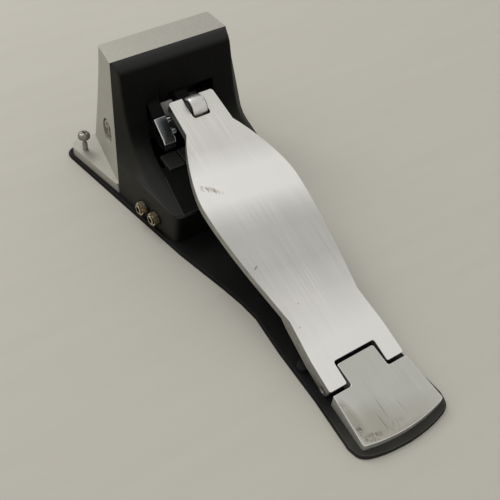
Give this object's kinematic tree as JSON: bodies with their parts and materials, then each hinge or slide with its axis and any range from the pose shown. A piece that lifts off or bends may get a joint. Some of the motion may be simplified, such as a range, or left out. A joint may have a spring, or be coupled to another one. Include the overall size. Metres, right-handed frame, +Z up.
{
  "type": "electronic kick drum trigger pedal",
  "caption": "Hinged footboard pedal whose roller swings a weighted hammer onto a sensor pad inside a two-piece housing with phone jacks.",
  "frame": {"origin": "middle of the underside of the rubber sole", "axes": "+Y from the heel to the housing, +X to the player's right, +Z up"},
  "size_m": [0.1868, 0.436, 0.132],
  "materials": {
    "brushed_aluminium": "brushed along its length, worn",
    "silver_paint": "satin warm silver-grey",
    "black_plastic": "matte black",
    "rubber": "matte",
    "black_steel": "satin black powder coat",
    "steel": "satin",
    "chrome": "polished",
    "cast_metal": "rough dark casting",
    "brass": "plated, bright",
    "nylon": "black nylon",
    "circuit_board": "green laminate"
  },
  "bodies": {
    "root": {"rubber_sole": "rubber", "base_plate": "black_steel", "heel_plate": "brushed_aluminium", "hinge_pin": "steel", "hinge_washer_left": "nylon", "hinge_washer_right": "nylon", "bracket_cheek_left": "black_steel", "bracket_cheek_right": "black_steel", "shaft_bearing_left": "brass", "shaft_bearing_right": "brass", "stop_bar": "rubber", "strike_pad": "rubber", "pad_plate": "steel", "piezo_sensor": "brass", "return_spring": "steel", "front_panel": "black_steel", "sill_pad_left": "rubber", "sill_pad_right": "rubber", "front_shell": "black_plastic", "rear_shell": "silver_paint", "jack_1": "nylon", "jack_2": "nylon", "jack_washer_1": "steel", "jack_washer_2": "steel", "jack_nut_1": "brass", "jack_nut_2": "brass", "circuit_board": "circuit_board", "board_standoff_1": "nylon", "board_standoff_2": "nylon", "board_stop": "rubber", "heel_bumper": "rubber", "base_screw_1": "steel", "base_screw_2": "steel", "base_screw_3": "steel", "base_screw_4": "steel", "base_screw_5": "steel", "base_screw_6": "steel"},
    "footboard": {"footboard": "brushed_aluminium", "ear_bushing_left": "brass", "ear_bushing_right": "brass", "pivot_screw_left": "steel", "pivot_screw_right": "steel", "roller_axle": "steel", "roller_washer_left": "nylon", "roller_washer_right": "nylon"},
    "roller": {"roller": "steel"},
    "hammer": {"hammer_arm": "cast_metal", "hammer_weight": "chrome", "hammer_striker": "rubber", "hammer_shaft": "steel", "shaft_spacer": "nylon", "spring_lever": "steel"},
    "tension_knob": {"tension_knob": "steel"},
    "anchor_screw_left": {"anchor_screw_left": "steel"},
    "anchor_screw_right": {"anchor_screw_right": "steel"}
  },
  "joints": [
    {"name": "footboard_press", "type": "hinge", "parent": "root", "child": "footboard", "pos_m": [0, -0.1475, 0.0105], "axis": [-1, 0, 0], "range_deg": [0, 7], "stiffness_Nm_per_rad": 20, "springref_deg": -4.01},
    {"name": "roller_spin", "type": "hinge", "parent": "footboard", "child": "roller", "pos_m": [0, 0.12047, 0.09255], "axis": [1, 0, 0], "continuous": true},
    {"name": "hammer_swing", "type": "hinge", "parent": "root", "child": "hammer", "pos_m": [0, 0.176, 0.098], "axis": [1, 0, 0], "range_deg": [0, 36.4], "deforming": ["return_spring"]},
    {"name": "tension_turn", "type": "hinge", "parent": "root", "child": "tension_knob", "pos_m": [0, 0.173, 0.051], "axis": [-1, 0, 0], "range_deg": [0, 180]},
    {"name": "anchor_left_screw", "type": "slide", "parent": "root", "child": "anchor_screw_left", "axis": [0, 0, 1], "range_m": [-0.008, 0.002]},
    {"name": "anchor_right_screw", "type": "slide", "parent": "root", "child": "anchor_screw_right", "axis": [0, 0, 1], "range_m": [-0.008, 0.002]}
  ],
  "couplings": [
    {"joint": "hammer_swing", "follows": "footboard_press", "ratio": 5.2}
  ]
}
